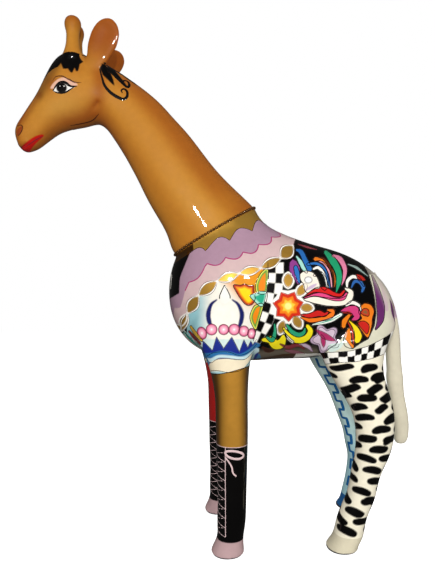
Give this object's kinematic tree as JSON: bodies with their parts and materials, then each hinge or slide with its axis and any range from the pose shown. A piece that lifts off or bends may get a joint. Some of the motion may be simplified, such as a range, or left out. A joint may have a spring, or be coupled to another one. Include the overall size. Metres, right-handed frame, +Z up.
{
  "type": "giraffe figure",
  "caption": "Standing giraffe figure, hollow cast resin with hand-painted lacquered ornament, made as joined castings on a steel and timber core.",
  "frame": {"origin": "middle of the bounding box's footprint, on the floor plane", "axes": "+Z up, the head points toward -X and the tail toward +X, the giraffe's left side is -Y"},
  "size_m": [0.5414, 0.1498, 0.693],
  "materials": {
    "torso_enamel": "cast resin under hand-painted, clear-lacquered enamel ornament",
    "tan_enamel": "caramel enamel with burnt-orange shading, clear-lacquered",
    "foreleg_enamel": "gold and red sleeves over black painted boots, clear-lacquered",
    "ivory_enamel": "ivory enamel with black patches on the leg, clear-lacquered",
    "aqua_enamel": "pale aqua enamel with a blue stepped line, clear-lacquered",
    "pink_enamel": "dusty pink enamel",
    "blue_enamel": "blue enamel",
    "gold_enamel": "metallic gold paint, lacquered",
    "bronze_beads": "dark bronze ball chain",
    "felt": "thin black felt",
    "steel": "plain steel",
    "timber": "plain softwood",
    "bare_resin": "unpainted cast resin"
  },
  "bodies": {
    "root": {"torso_shell_left": "torso_enamel", "torso_shell_right": "torso_enamel", "neck_shell": "tan_enamel", "head_shell": "tan_enamel", "neck_collar": "bare_resin", "head_plug": "bare_resin", "neck_bead_chain": "bronze_beads", "ear_left": "tan_enamel", "ear_right": "tan_enamel", "ossicone_left": "tan_enamel", "ossicone_right": "tan_enamel", "ear_pin_left": "steel", "ear_pin_right": "steel", "ossicone_pin_left": "steel", "ossicone_pin_right": "steel", "foreleg_left": "foreleg_enamel", "foreleg_right": "foreleg_enamel", "hindleg_left": "ivory_enamel", "hindleg_right": "aqua_enamel", "hoof_fore_left": "pink_enamel", "hoof_fore_right": "pink_enamel", "hoof_hind_left": "ivory_enamel", "hoof_hind_right": "blue_enamel", "pad_fore_left": "felt", "pad_fore_right": "felt", "pad_hind_left": "felt", "pad_hind_right": "felt", "foreleg_left_rod": "steel", "foreleg_right_rod": "steel", "hindleg_left_rod": "steel", "hindleg_right_rod": "steel", "neck_rod": "steel", "tail_pin": "steel", "shoulder_block": "timber", "hip_block": "timber", "spine_bar": "timber", "tail": "ivory_enamel"}
  },
  "joints": []
}
